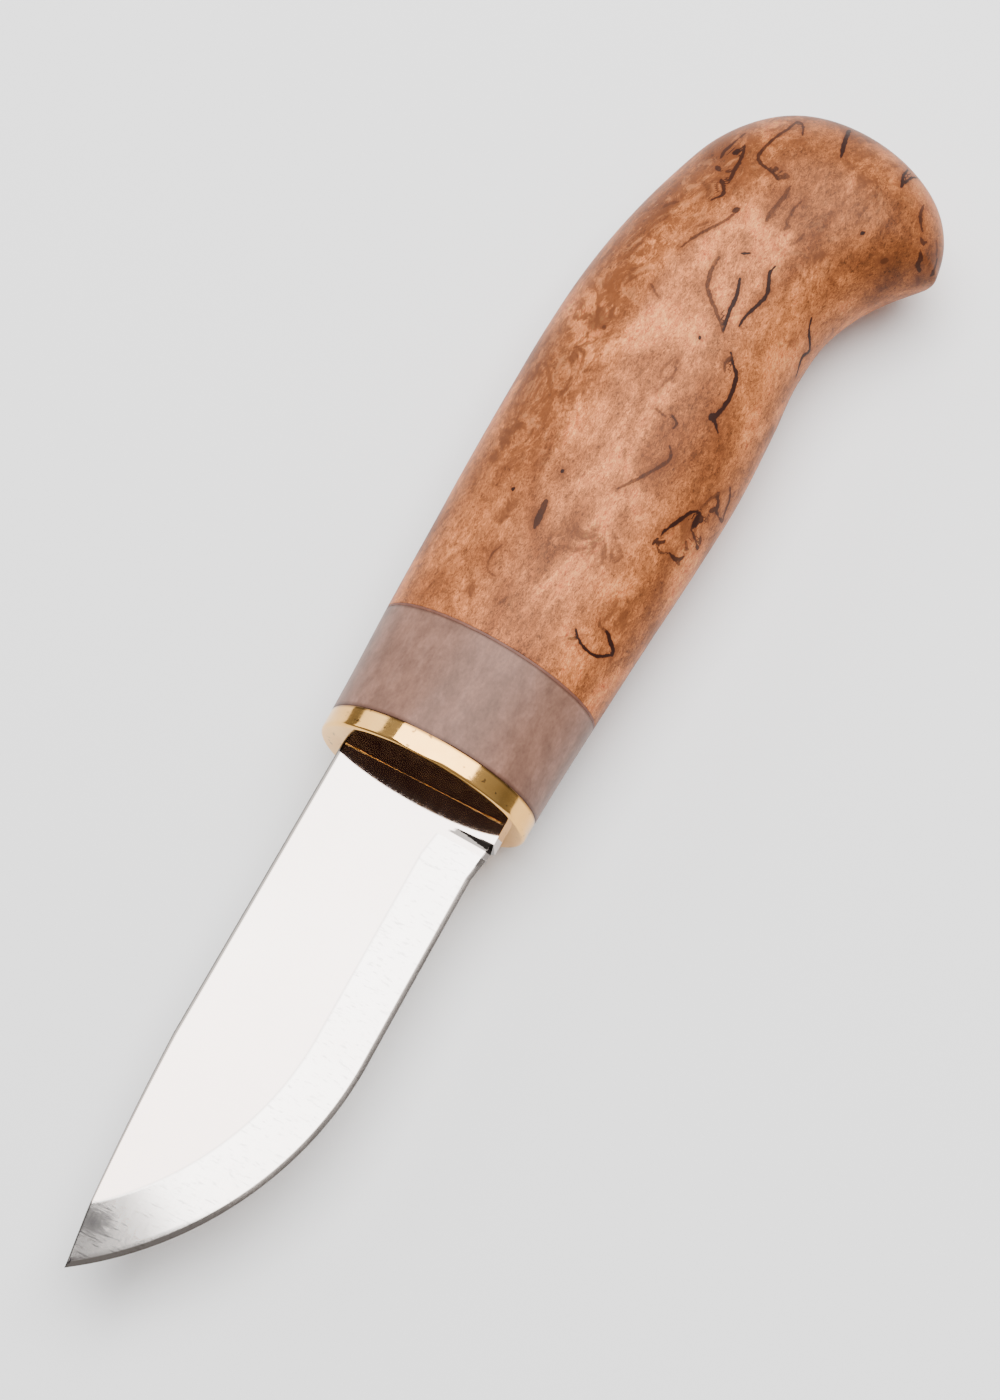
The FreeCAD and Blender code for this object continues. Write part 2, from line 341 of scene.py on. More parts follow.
def blade_column(q, angle):
    """Foot on the edge, direction inward and length up to the spine, for one column of the side."""
    if angle is None:
        foot = straight_edge(q)
        return np.array([q, foot]), np.array([0.0, 1.0]), spine_height(q) - foot
    inward = np.array([-math.sin(angle), math.cos(angle)])
    foot = np.array(BELLY_CENTRE) - inward * BELLY_RADIUS
    low, high = 0.0, 30.0
    for _ in range(40):
        mid = (low + high) / 2
        q_mid, y_mid = foot + inward * mid
        low, high = (mid, high) if y_mid < spine_height(q_mid) else (low, mid)
    return foot, inward, low


def ground_half(q, deep):
    """Half thickness at a depth in from the edge: honed edge, bevel, plunge and flat."""
    near = np.clip((RICASSO_LEN + PLUNGE_RUN - q) / PLUNGE_RUN, 0, 1)
    shifted = deep + PLUNGE_CURVE * near**2
    honed = HONED_HALF + (EDGE_HALF + HONED * BEVEL_SLOPE - HONED_HALF) * deep / HONED
    bevel = np.where(deep < HONED, honed, EDGE_HALF + BEVEL_SLOPE * shifted)
    plunge = THICK_HALF - np.maximum(q - RICASSO_LEN + 0.1, 0) * PLUNGE_SLOPE
    return np.minimum(THICK_HALF, np.maximum(bevel, plunge))


def blade_mesh():
    """The blade as a grid on each side, closed round the edge, the spine and the heel."""
    straight = np.concatenate([np.linspace(0, 3.3, 8), np.arange(3.4, 5.4, 0.1),
                               np.arange(5.6, 9.0, 0.25), np.arange(9.5, BELLY_FROM, 0.75)])
    columns = [(q, None) for q in straight]
    sweep = math.asin((BLADE_LEN - BELLY_FROM) / BELLY_RADIUS)
    columns += [(None, a) for a in np.linspace(0, sweep, 96)]
    depths = np.concatenate([[0, 0.1, HONED - 0.05, HONED + 0.05],
                             np.linspace(1.2, BEVEL_WIDTH - 0.3, 12),
                             [BEVEL_WIDTH - 0.06, BEVEL_WIDTH + 0.06]])
    side = []
    for q, angle in columns:
        foot, inward, length = blade_column(q, angle)
        limit = max(length - SPINE_LINE - 0.2, 0.0)
        deep = np.minimum(depths, limit)
        above = np.linspace(deep[-1], limit, 9)[1:]
        broken = np.maximum(length - np.array([SPINE_LINE, SPINE_BREAK]), 0.0)
        deep = np.concatenate([deep, above, broken, [length]])
        at = foot[None] + deep[:, None] * inward[None]
        if q is not None and q < RICASSO_LEN:
            at[:, 0] = q - LEAN * at[:, 1] * (1 - q / RICASSO_LEN)
        half = ground_half(at[:, 0], deep)
        half[-1] = max(half[-2] - SPINE_BREAK, 0.02)
        side.append(np.column_stack([ZERO_X - at[:, 0], ZERO_Y + at[:, 1], half]))
    side = np.array(side)
    ring = np.concatenate([side, side[:, ::-1] * np.array([1, 1, -1])], axis=1)
    ring[:, :, 2] += MID_Z
    count = ring.shape[1]
    faces = []
    for i in range(len(ring) - 1):
        a, b = i * count, (i + 1) * count
        faces += [(a + j, b + j, b + (j + 1) % count, a + (j + 1) % count) for j in range(count)]
    faces.append(tuple(range(count)))
    faces.append(tuple(range((len(ring) - 1) * count, len(ring) * count)))
    return new_mesh("blade_steel", ring.reshape(-1, 3), faces)


def mark_blade(piece):
    """Write each vertex's depth in from the edge, the rims painted dark as reflections, the scuff and
    the way forward.
    """
    at = vertex_places(piece.data)
    q, y = -at[:, 0], at[:, 1]
    straight = y - straight_edge(q)
    curved = BELLY_RADIUS - np.hypot(q - BELLY_CENTRE[0], y - BELLY_CENTRE[1])
    deep = np.where(q < BELLY_FROM, straight, curved) + np.where(q < RICASSO_LEN + 1.6, 9.0, 0.0)
    slant = (BELLY_CENTRE[1] - y) / np.hypot(q - BELLY_CENTRE[0], y - BELLY_CENTRE[1])
    # Painted reflection: a dark line along the spine and along the plunge, standing in for the polished
    # edges reflecting the dark room.
    rim = (spine_height(q) - y < (SPINE_LINE + 0.02) * np.where(q < BELLY_FROM, 1.0, slant)) * 1.0
    plunge = (np.abs(at[:, 2]) < THICK_HALF - 0.03) & (q > RICASSO_LEN - 0.1) & (q < RICASSO_LEN + 0.75)
    rim = np.maximum(rim, plunge & (y < BEVEL_WIDTH - EDGE_DOWN + 1))
    tip = np.clip(1 - np.hypot(q - SCUFF[0], y - SCUFF[1]) / SCUFF_REACH, 0, 1)
    forward = np.clip((q - DARKER_FROM) / (BLADE_LEN - DARKER_FROM), 0, 1)
    for name, values in (("deep", deep), ("rim", rim), ("tip", tip), ("forward", forward)):
        write_values(piece.data, name, values)


def heel_burr(name, side):
    """A fine uneven bead where the heel meets the bolster, on the left side (1) or the right (-1)."""
    loops = []
    arc = np.linspace(0, math.pi / 2, 7)
    for y in np.linspace(0.3 - RICASSO_DOWN, SPINE_UP - 0.5, 80):
        outer = min(max((abs(y - 1) - 5) / 4, 0), 1)
        size = BURR * (0.3 + 0.7 * outer) * (1 + 0.35 * math.sin(1.9 * y) * math.sin(0.7 * y + 1))
        station = np.append(LEAN * y - size * np.cos(arc), LEAN * y + 0.1)
        z = side * np.append(THICK_HALF + size * np.sin(arc), THICK_HALF - 0.1)
        loops.append(np.stack([station + ZERO_X, np.full(len(z), y + ZERO_Y), z + MID_Z], axis=1))
    return skin(name, loops)


blade = blade_mesh()
mark_blade(blade)
crease(blade, 7)

burr_left = heel_burr("heel_burr_left", 1)
burr_right = heel_burr("heel_burr_right", -1)

tang_ends = []
for at in (-0.4, 20.0, TANG_LEN):
    up, down, half = tang_at(at, 0.0)
    tang_ends.append(np.array([(at + ZERO_X, y + ZERO_Y, z + MID_Z)
                               for y, z in ((up, half), (-down, half), (-down, -half), (up, -half))]))
tang = skin("blade_tang", tang_ends)
crease(tang, 30)


# ---------------------------------------------------------------- the wood's figure
# Dark flecks of the curly birch on the left side: half width, darkness, then points of station and up.
FLECKS = (
    (0.36, 0.85, (35.5, 3.0), (39.7, 3.5)),
    (0.09, 0.5, (27.0, 4.4), (27.3, 5.6), (28.5, 6.2), (30.0, 6.3), (31.5, 5.8)),
    (0.16, 1.0, (25.6, -8.0), (25.0, -8.5), (24.4, -9.3), (24.1, -10.4), (24.1, -11.1), (24.4, -11.8),
     (25.2, -12.5), (25.9, -13.1)),
    (0.25, 1.0, (25.9, -13.1), (26.5, -12.9), (27.2, -12.1), (27.7, -11.6), (27.9, -11.1)),
    (0.15, 0.55, (27.9, -11.1), (27.8, -10.5), (28.2, -10.1), (28.8, -9.9)),
    (0.16, 0.6, (23.9, -7.8), (24.5, -8.5)),
    (0.17, 0.7, (45.5, -4.0), (48.0, -5.6), (50.5, -7.0), (52.5, -8.0), (53.5, -7.9), (54.5, -7.2)),
    (0.13, 0.6, (58.2, -3.2), (57.8, -5.0)),
    (0.14, 0.8, (58.5, -5.5), (57.8, -6.6), (56.8, -6.5)),
    (0.12, 0.45, (60.2, -2.2), (62.0, -2.7), (63.8, -3.2), (65.5, -2.8), (66.5, -2.3)),
    (0.11, 0.45, (62.5, -1.8), (64.0, -1.5), (65.5, -2.0), (66.5, -2.3)),
    (0.19, 1.0, (43.0, -11.5), (43.9, -11.6), (44.8, -11.9), (45.8, -12.3), (46.9, -12.7),
     (48.1, -13.1), (48.9, -13.6), (49.4, -14.2)),
    (0.20, 0.9, (41.6, -11.2), (42.2, -11.3), (42.3, -11.8), (43.0, -12.2)),
    (0.13, 0.7, (41.7, -11.7), (41.3, -12.3), (41.6, -12.9)),
    (0.22, 0.9, (42.1, -13.3), (42.0, -14.0), (42.4, -14.6), (43.3, -14.9)),
    (0.16, 0.7, (42.0, -14.4), (42.0, -14.9)),
    (0.37, 1.0, (48.8, -14.2), (48.1, -14.3), (47.2, -14.3)),
    (0.28, 0.9, (49.2, -14.6), (48.6, -14.8)),
    (0.15, 0.8, (46.8, -14.2), (46.4, -14.8), (45.9, -15.5)),
    (0.15, 0.8, (47.1, -15.4), (46.3, -15.8)),
    (0.18, 0.9, (45.7, -15.5), (45.7, -15.8)),
    (0.18, 0.65, (45.0, -14.3), (44.4, -14.8)),
    (0.15, 0.7, (43.9, -14.6), (44.6, -15.0)),
    (0.22, 0.85, (53.3, -14.9), (52.5, -15.4), (51.8, -15.6), (51.3, -15.7), (51.3, -16.0)),
    (0.15, 0.6, (51.8, -14.5), (52.7, -14.8), (53.6, -15.1)),
    (0.12, 0.5, (49.9, -14.0), (50.8, -14.3), (51.9, -14.5)),
    (0.21, 0.8, (50.6, -15.1), (51.3, -15.4)),
    (0.15, 0.5, (49.8, -15.2), (49.1, -15.6)),
    (0.16, 0.8, (55.3, -15.8), (54.2, -16.3), (53.1, -16.4), (52.1, -16.5), (51.4, -16.6),
     (51.1, -16.1)),
    (0.22, 1.0, (60.0, -11.6), (61.2, -10.5), (61.8, -10.4), (64.0, -10.8), (66.5, -10.7),
     (68.5, -10.2), (69.5, -9.2), (70.8, -8.3)),
    (0.38, 1.0, (61.1, -10.0), (61.6, -10.2)),
    (0.16, 0.7, (67.8, -8.8), (69.0, -8.3), (70.5, -8.5)),
    (0.19, 0.7, (82.0, 4.6), (84.0, 3.8), (86.0, 2.6), (88.0, 1.3), (89.5, 0.7), (90.6, 0.6)),
    (0.19, 0.75, (72.8, -6.1), (75.0, -4.0), (76.5, -2.3), (78.0, -1.2), (80.5, -0.6), (82.8, -0.8)),
    (0.21, 1.0, (73.0, -6.0), (76.0, -5.5), (78.5, -5.3), (81.0, -4.6)),
    (0.16, 1.0, (84.5, -3.1), (85.2, -4.2)),
    (0.20, 1.0, (74.8, -7.5), (76.5, -7.6), (79.0, -8.2), (80.8, -8.6), (82.5, -8.2), (84.0, -7.6),
     (85.3, -7.8)),
    (0.20, 0.65, (90.7, -4.0), (92.0, -3.7), (94.0, -4.2), (97.3, -4.3)),
    (0.13, 0.6, (90.5, -6.7), (92.0, -6.4), (94.0, -6.3), (95.8, -6.7)),
    (0.18, 0.85, (97.5, -2.5), (98.5, -1.0), (99.3, 1.0), (100.5, 2.0), (102.5, 1.9), (105.0, 1.3),
     (107.0, 0.7), (109.5, 0.2), (108.5, -1.0), (106.5, -1.8)),
    (0.36, 0.7, (98.2, -2.9), (98.5, -3.1)),
    (0.22, 0.85, (103.1, 6.4), (101.5, 6.8), (100.2, 7.1), (99.0, 7.0)),
    (0.22, 0.85, (97.3, 6.8), (96.4, 5.9)),
    (0.18, 0.9, (94.9, 5.0), (93.5, 3.9), (92.2, 3.5), (91.3, 4.2), (90.8, 4.5)),
    (0.19, 0.9, (102.2, 4.9), (100.7, 4.4), (98.8, 4.1), (96.9, 4.0), (95.1, 3.8), (94.3, 3.8)),
    (0.22, 0.75, (103.6, 6.1), (104.6, 6.0)),
    (0.31, 1.0, (101.1, 5.3), (100.0, 5.5)),
    (0.19, 0.7, (96.8, 5.0), (96.5, 4.7)),
    (0.24, 0.35, (93.9, 7.4), (93.0, 6.0), (91.7, 5.4), (90.7, 5.7)),
    (0.30, 0.4, (89.3, 8.8), (88.8, 10.0), (87.7, 10.6)),
    (0.41, 0.35, (87.1, 9.2), (85.4, 9.5)),
    (0.24, 1.0, (105.0, -8.3), (107.5, -7.6), (110.0, -7.0), (112.0, -6.6)),
    (0.16, 1.0, (110.0, -16.4), (108.1, -16.5), (106.2, -17.1), (105.4, -17.3)),
    (0.16, 1.0, (105.5, -17.2), (107.0, -17.3), (108.7, -17.5), (110.2, -17.9)),
    (0.20, 0.8, (105.5, -20.8), (103.8, -21.1), (102.5, -21.7), (101.5, -22.4)),
    (0.18, 0.8, (100.5, -22.7), (100.0, -23.2), (100.7, -23.5)),
    (0.20, 0.85, (98.9, -23.3), (98.2, -23.8), (97.5, -23.7), (97.3, -24.2)),
    (0.15, 0.4, (96.9, -24.0), (96.7, -24.4)),
    (0.19, 0.6, (102.3, -24.3), (101.3, -24.9), (100.4, -25.2)),
    (0.20, 0.9, (100.4, -25.4), (99.6, -25.6), (98.5, -25.7), (98.2, -25.5)),
    (0.16, 0.5, (101.2, -25.8), (100.1, -26.2)),
    (0.17, 1.0, (75.5, -15.9), (78.0, -15.6), (79.8, -15.9), (81.2, -15.0), (82.8, -14.6)),
    (0.30, 0.5, (94.7, -19.6), (95.2, -19.9)),
    (0.16, 1.0, (39.6, 8.4), (39.9, 8.4)),
    (0.14, 1.0, (44.4, 3.5), (44.7, 3.6)),
    (0.16, 1.0, (70.2, -3.8), (70.5, -3.8)),
    (0.16, 1.0, (95.9, -15.9), (96.2, -15.9)),
    (0.10, 0.5, (73.5, 4.0), (75.0, 5.8)),
    (0.20, 0.5, (66.3, 8.4), (66.8, 8.7)),
    (0.20, 0.55, (82.7, -0.6), (81.0, -0.5)),
    (0.26, 0.7, (99.4, -1.1), (99.1, -1.4)),
    (0.34, 0.6, (98.9, -2.7), (98.4, -3.3)),
    (0.30, 0.6, (92.2, -4.0), (91.3, -4.1)),
    (0.16, 0.5, (91.5, -9.1), (89.8, -8.8)),
    (0.30, 0.9, (90.9, 0.5), (89.9, 0.6)),
    (0.16, 0.35, (87.1, 3.2), (86.3, 3.7), (85.9, 4.4)),
    (0.26, 0.6, (91.4, -6.8), (91.1, -6.8)),
)
# Brown clouds in the wood: station, up, reach along, reach across and depth.
CLOUDS = (
    (67.5, 10.0, 2.4, 1.9, 1.0),
    (61.5, 10.5, 2.0, 1.3, 0.7),
    (48.0, 13.2, 2.6, 1.1, 0.9),
    (44.0, 13.5, 1.4, 0.7, 0.7),
    (56.5, 9.0, 2.0, 0.9, 0.6),
    (36.5, 7.8, 3.0, 1.3, 0.7),
    (24.0, 6.6, 1.4, 1.0, 0.7),
    (88.0, 9.9, 2.4, 0.8, 0.8),
    (81.0, 10.5, 1.9, 0.6, 0.6),
    (75.5, 9.0, 1.9, 0.9, 0.6),
    (93.5, 6.0, 2.0, 0.9, 0.7),
    (89.5, -12.0, 1.7, 1.1, 0.6),
    (46.0, -13.8, 4.2, 1.8, 0.5),
    (37.0, -4.0, 2.6, 6.0, 0.5),
    (31.0, -11.5, 3.0, 3.0, 0.45),
    (95.0, -19.7, 1.2, 1.1, 0.7),
    (78.5, -13.5, 5.0, 2.0, 0.25),
    (104.0, -12.0, 7.0, 6.0, 0.3),
    (62.0, 14.5, 16.0, 3.2, 0.25),
)
TURNED_ABOUT = 133.0   # the right side repeats the figure end for end


def girth_place(station, up):
    """How far round the surface a point lies from the middle of its side, in mm towards the spine."""
    up_at, down_at, half_at = section(np.asarray(station, float))
    middle, reach = (up_at - down_at) / 2, (up_at + down_at) / 2
    angle = np.arcsin(np.clip((up - middle) / np.maximum(reach, 0.1), -1, 1))
    total = np.zeros_like(angle)
    for part in (0.1, 0.3, 0.5, 0.7, 0.9):
        total += np.hypot(reach * np.cos(part * angle), half_at * np.sin(part * angle)) * angle / 5
    return total


def curve_through(points):
    """A smooth curve through a fleck's points, four steps to each of its stretches."""
    line = np.array(points)
    padded = np.vstack([2 * line[0] - line[1], line, 2 * line[-1] - line[-2]])
    curve = [line[0]]
    for before, start, end, after in zip(padded, padded[1:], padded[2:], padded[3:]):
        for w in (0.25, 0.5, 0.75, 1.0):
            bend = (end - before) * w + (2 * before - 5 * start + 4 * end - after) * w**2
            curve.append(start + 0.5 * (bend + (3 * start - before - 3 * end + after) * w**3))
    return np.array(curve)


def nearest_fleck(station, around):
    """The way to the nearest fleck, with its half width there, how far its rim is and its darkness."""
    way = np.zeros((len(station), 3))
    best = np.full(len(station), 99.0)
    ink = np.zeros(len(station))
    for half, dark, *points in FLECKS:
        line = curve_through(points)
        line = np.column_stack([line[:, 0], girth_place(line[:, 0], line[:, 1])])
        length = np.concatenate([[0], np.cumsum(np.hypot(*np.diff(line, axis=0).T))])
        for i in range(len(line) - 1):
            run = line[i + 1] - line[i]
            along = ((station - line[i, 0]) * run[0] + (around - line[i, 1]) * run[1]) / run.dot(run)
            along = np.clip(along, 0, 1)
            vx = line[i, 0] + along * run[0] - station
            vy = line[i, 1] + along * run[1] - around
            place = (length[i] + along * (length[i + 1] - length[i])) / length[-1]
            width = 1.25 * half * (0.15 + 0.85 * np.sqrt(np.clip(1.04 - (2 * place - 1)**2, 0, 1)))
            far = np.hypot(vx, vy) - width
            nearer = far < best
            best[nearer] = far[nearer]
            way[nearer] = np.column_stack([vx, vy, width])[nearer]
            ink[nearer] = dark
    return np.clip(way, -9, 9), np.clip(best, -1, 9), ink


def mark_figure(piece):
    """Write the flecks, the clouds, the flaky zones and the darker zones (painted shade along the
    sides, darker towards the butt) on the handle's vertices.
    """
    mesh = piece.data
    at = vertex_places(mesh)
    left = at[:, 2] >= 0
    station = np.where(left, at[:, 0], TURNED_ABOUT - at[:, 0])
    around = np.where(left, 1.0, -1.0) * girth_place(at[:, 0], at[:, 1])
    way, far, ink = nearest_fleck(station, around)
    mesh.attributes.new("fleck_way", "FLOAT_VECTOR", "POINT").data.foreach_set("vector", way.ravel())
    write_values(mesh, "fleck_far", far)
    write_values(mesh, "fleck_ink", ink)
    cloud = np.zeros(len(at))
    for cs, cu, wide, high, depth in CLOUDS:
        ca = girth_place(np.array([cs]), np.array([cu]))[0]
        fade = np.exp(-((station - cs) / wide)**2 - ((around - ca) / high)**2)
        cloud = np.maximum(cloud, depth * fade)
    write_values(mesh, "cloud", cloud)
    near_spine = np.exp(-((around - 10.5) / 6)**2) * np.clip((station - 36) / 12, 0.2, 1)
    near_edge = 0.42 * np.exp(-((around + 9) / 6)**2) * np.clip((station - 60) / 20, 0.3, 1)
    write_values(mesh, "flaky", np.maximum(np.maximum(near_spine, near_edge), 0.16))
    # Painted shade: the sides towards the spine and the edge are darkened where the handle turns away;
    # the butt is also darker towards its end.
    butt_shade = 0.60 * np.clip((station - 84) / 20, 0, 1)
    edge_shade = 0.45 * np.clip((-around - 5) / 12, 0, 1)
    spine_shade = 0.36 * np.clip((around - 5) / 9, 0, 1)
    write_values(mesh, "shade", np.minimum(butt_shade + edge_shade + spine_shade, 0.8))


mark_figure(birch)


# ---------------------------------------------------------------- material helpers
def new_material(name):
    """A material, its node tree and its shader."""
    material = bpy.data.materials.new(name)
    material.use_nodes = True
    return material, material.node_tree, material.node_tree.nodes["Principled BSDF"]


def mapped(tree, scale, turn=(0, 0, 0)):
    """Object coordinates, scaled and turned."""
    where = tree.nodes.new("ShaderNodeTexCoord")
    mapping = tree.nodes.new("ShaderNodeMapping")
    mapping.inputs["Scale"].default_value = scale
    mapping.inputs["Rotation"].default_value = turn
    tree.links.new(where.outputs["Object"], mapping.inputs["Vector"])
    return mapping.outputs["Vector"]


def noise(tree, vector, scale, detail=4.0, rough=0.55, distort=0.0):
    made = tree.nodes.new("ShaderNodeTexNoise")
    made.inputs["Scale"].default_value = scale
    made.inputs["Detail"].default_value = detail
    made.inputs["Roughness"].default_value = rough
    made.inputs["Distortion"].default_value = distort
    tree.links.new(vector, made.inputs["Vector"])
    return made.outputs["Fac"]


def ramp(tree, value, stops):
    """A colour ramp over a value. Each stop is a place and a grey or an RGB colour."""
    made = tree.nodes.new("ShaderNodeValToRGB")
    elements = made.color_ramp.elements
    while len(elements) < len(stops):
        elements.new(0.5)
    for element, (place, colour) in zip(elements, stops):
        element.position = place
        colour = (colour,) * 3 if isinstance(colour, (int, float)) else colour
        element.color = (*colour, 1)
    tree.links.new(value, made.inputs["Fac"])
    return made.outputs["Color"]


def mix(tree, factor, a, b, blend="MIX"):
    """Colour a towards colour b. Any of the three is a number, a colour or a socket."""
    made = tree.nodes.new("ShaderNodeMix")
    made.data_type = "RGBA"
    made.blend_type = blend
    for socket, value in ((made.inputs[0], factor), (made.inputs[6], a), (made.inputs[7], b)):
        if isinstance(value, bpy.types.NodeSocket):
            tree.links.new(value, socket)
        elif isinstance(value, tuple):
            socket.default_value = (*value, 1)
        else:
            socket.default_value = value
    return made.outputs[2]


def maths(tree, operation, a, b=None, clamp=False):
    made = tree.nodes.new("ShaderNodeMath")
    made.operation = operation
    made.use_clamp = clamp
    for socket, value in zip(made.inputs, (a, b)):
        if isinstance(value, bpy.types.NodeSocket):
            tree.links.new(value, socket)
        elif value is not None:
            socket.default_value = value
    return made.outputs[0]


def times(tree, a, b):
    return maths(tree, "MULTIPLY", a, b)


def plus(tree, a, b):
    return maths(tree, "ADD", a, b)


def less(tree, a, b):
    return maths(tree, "SUBTRACT", a, b)


def tinted(tree, colour, where, strength, paint):
    """A colour painted over, at a strength, where a value is 1."""
    return mix(tree, times(tree, where, strength), colour, paint)


def stepped(tree, value, low, high):
    """0 below low, 1 above high and smooth between; a high below low turns it round."""
    made = tree.nodes.new("ShaderNodeMapRange")
    made.interpolation_type = "SMOOTHSTEP"
    made.inputs["From Min"].default_value = min(low, high)
    made.inputs["From Max"].default_value = max(low, high)
    made.inputs["To Min"].default_value = 0.0 if low < high else 1.0
    made.inputs["To Max"].default_value = 1.0 if low < high else 0.0
    tree.links.new(value, made.inputs["Value"])
    return made.outputs["Result"]


def bump(tree, height, strength, distance, normal=None):
    made = tree.nodes.new("ShaderNodeBump")
    made.inputs["Strength"].default_value = strength
    made.inputs["Distance"].default_value = distance
    tree.links.new(height, made.inputs["Height"])
    if normal is not None:
        tree.links.new(normal, made.inputs["Normal"])
    return made.outputs["Normal"]


def attribute(tree, name, output):
    made = tree.nodes.new("ShaderNodeAttribute")
    made.attribute_name = name
    return made.outputs[output]


# ---------------------------------------------------------------- materials
def steel_material():
    """Polished steel: a scratched bevel, a scuffed tip, painted dark reflection lines on the honed
    edge, the ridge and the rims, and flats painted darker towards the tip.
    """
    material, tree, shader = new_material("polished_steel")
    shader.inputs["Metallic"].default_value = 1.0
    deep = attribute(tree, "deep", "Fac")
    rim = attribute(tree, "rim", "Fac")
    tip = attribute(tree, "tip", "Fac")
    along = noise(tree, mapped(tree, (90, 3600, 3600), (0, 0, 0.1)), 1.0, 3)
    crossing = noise(tree, mapped(tree, (3000, 120, 3000), (0, 0, 0.5)), 1.0, 3, 0.6, 0.15)
    cloud = noise(tree, mapped(tree, (60, 90, 60)), 1.0, 4)
    on_bevel = stepped(tree, deep, BEVEL_WIDTH + 0.05, BEVEL_WIDTH - 0.1)
    colour = ramp(tree, cloud, [(0.3, (0.86, 0.79, 0.74)), (0.7, (0.93, 0.87, 0.83))])
    # Painted reflection: the flats are painted darker and warmer than the bevel, more so towards the
    # tip.
    on_flat = stepped(tree, deep, BEVEL_WIDTH - 0.1, BEVEL_WIDTH + 0.05)
    forward = attribute(tree, "forward", "Fac")
    flat_shade = plus(tree, times(tree, forward, 0.45), 0.55)
    colour = mix(tree, times(tree, on_flat, flat_shade), colour, (0.70, 0.575, 0.52))
    scratches = stepped(tree, crossing, 0.55, 0.68)
    near_tip = plus(tree, times(tree, tip, 0.6), 0.06)
    worn = plus(tree, times(tree, on_bevel, 0.4), near_tip)
    scratched = maths(tree, "MULTIPLY", scratches, worn, True)
    colour = mix(tree, scratched, colour, (0.30, 0.28, 0.27))
    # Painted reflection: a thin darker line along the crease where the bevel meets the flat.
    ridge_below = stepped(tree, deep, BEVEL_WIDTH - 0.3, BEVEL_WIDTH - 0.02)
    ridge_above = stepped(tree, deep, BEVEL_WIDTH + 0.2, BEVEL_WIDTH + 0.02)
    painted_ridge_line = times(tree, ridge_below, ridge_above)
    colour = tinted(tree, colour, painted_ridge_line, 0.5, (0.40, 0.37, 0.35))
    # Painted reflection: the honed edge is painted dark, standing in for the dark room that it
    # reflects.
    honed = stepped(tree, deep, HONED + 0.1, HONED - 0.1)
    colour = tinted(tree, colour, honed, 0.8, (0.13, 0.105, 0.09))
    streaked = plus(tree, tip, times(tree, crossing, 0.9))
    smear = times(tree, tip, stepped(tree, streaked, 0.95, 1.2))
    colour = tinted(tree, colour, smear, 0.8, (0.05, 0.05, 0.055))
    # Painted reflection: the rims along the spine and the plunge are painted dark.
    colour = tinted(tree, colour, rim, 0.9, (0.05, 0.045, 0.04))
    tree.links.new(colour, shader.inputs["Base Color"])
    rough = ramp(tree, along, [(0.3, 0.03), (0.75, 0.08)])
    rough = plus(tree, rough, times(tree, on_bevel, 0.10))
    tree.links.new(rough, shader.inputs["Roughness"])
    first = bump(tree, along, 0.03, 0.00001)
    tree.links.new(bump(tree, scratched, 0.15, 0.00001, first), shader.inputs["Normal"])
    return material


def brass_material():
    material, tree, shader = new_material("polished_brass")
    shader.inputs["Metallic"].default_value = 1.0
    cloud = noise(tree, mapped(tree, (160, 160, 160)), 1.0, 5)
    colour = ramp(tree, cloud, [(0.3, (0.78, 0.40, 0.10)), (0.7, (0.90, 0.52, 0.16))])
    pitting = noise(tree, mapped(tree, (1100, 1100, 1100)), 1.0, 2, 0.5)
    pits = stepped(tree, pitting, 0.66, 0.72)
    colour = tinted(tree, colour, pits, 0.7, (0.16, 0.08, 0.03))
    colour = tinted(tree, colour, attribute(tree, "seam", "Fac"), 0.8, (0.10, 0.04, 0.015))
    tree.links.new(colour, shader.inputs["Base Color"])
    fine = noise(tree, mapped(tree, (3200, 300, 300)), 1.0, 3)
    tree.links.new(ramp(tree, fine, [(0.3, 0.07), (0.75, 0.15)]), shader.inputs["Roughness"])
    tree.links.new(bump(tree, fine, 0.10, 0.00002), shader.inputs["Normal"])
    return material


def antler_material():
    material, tree, shader = new_material("reindeer_antler")
    cloud = noise(tree, mapped(tree, (110, 260, 260)), 1.0, 6, 0.68, 0.5)
    grain = noise(tree, mapped(tree, (1500, 2400, 2400)), 1.0, 3, 0.6)
    blotch = noise(tree, mapped(tree, (380, 520, 520)), 1.0, 3, 0.5)
    colour = ramp(tree, cloud, [(0.32, (0.158, 0.080, 0.055)), (0.5, (0.185, 0.092, 0.064)),
                                (0.66, (0.222, 0.114, 0.082))])
    colour = mix(tree, 0.35, colour, ramp(tree, blotch, [(0.35, 0.3), (0.65, 0.7)]), "OVERLAY")
    colour = mix(tree, 0.4, colour, ramp(tree, grain, [(0.3, 0.3), (0.7, 0.68)]), "OVERLAY")
    colour = tinted(tree, colour, attribute(tree, "seam", "Fac"), 0.7, (0.05, 0.018, 0.01))
    tree.links.new(colour, shader.inputs["Base Color"])
    shader.inputs["Roughness"].default_value = 0.42
    shader.inputs["Specular IOR Level"].default_value = 0.22
    tree.links.new(bump(tree, grain, 0.2, 0.00005), shader.inputs["Normal"])
    return material


def plain_material(name, low, high, scale, roughness):
    material, tree, shader = new_material(name)
    cloud = noise(tree, mapped(tree, (scale, scale, scale)), 1.0, 4)
    tree.links.new(ramp(tree, cloud, [(0.3, low), (0.7, high)]), shader.inputs["Base Color"])
    shader.inputs["Roughness"].default_value = roughness
    tree.links.new(bump(tree, cloud, 0.2, 0.00005), shader.inputs["Normal"])
    return material


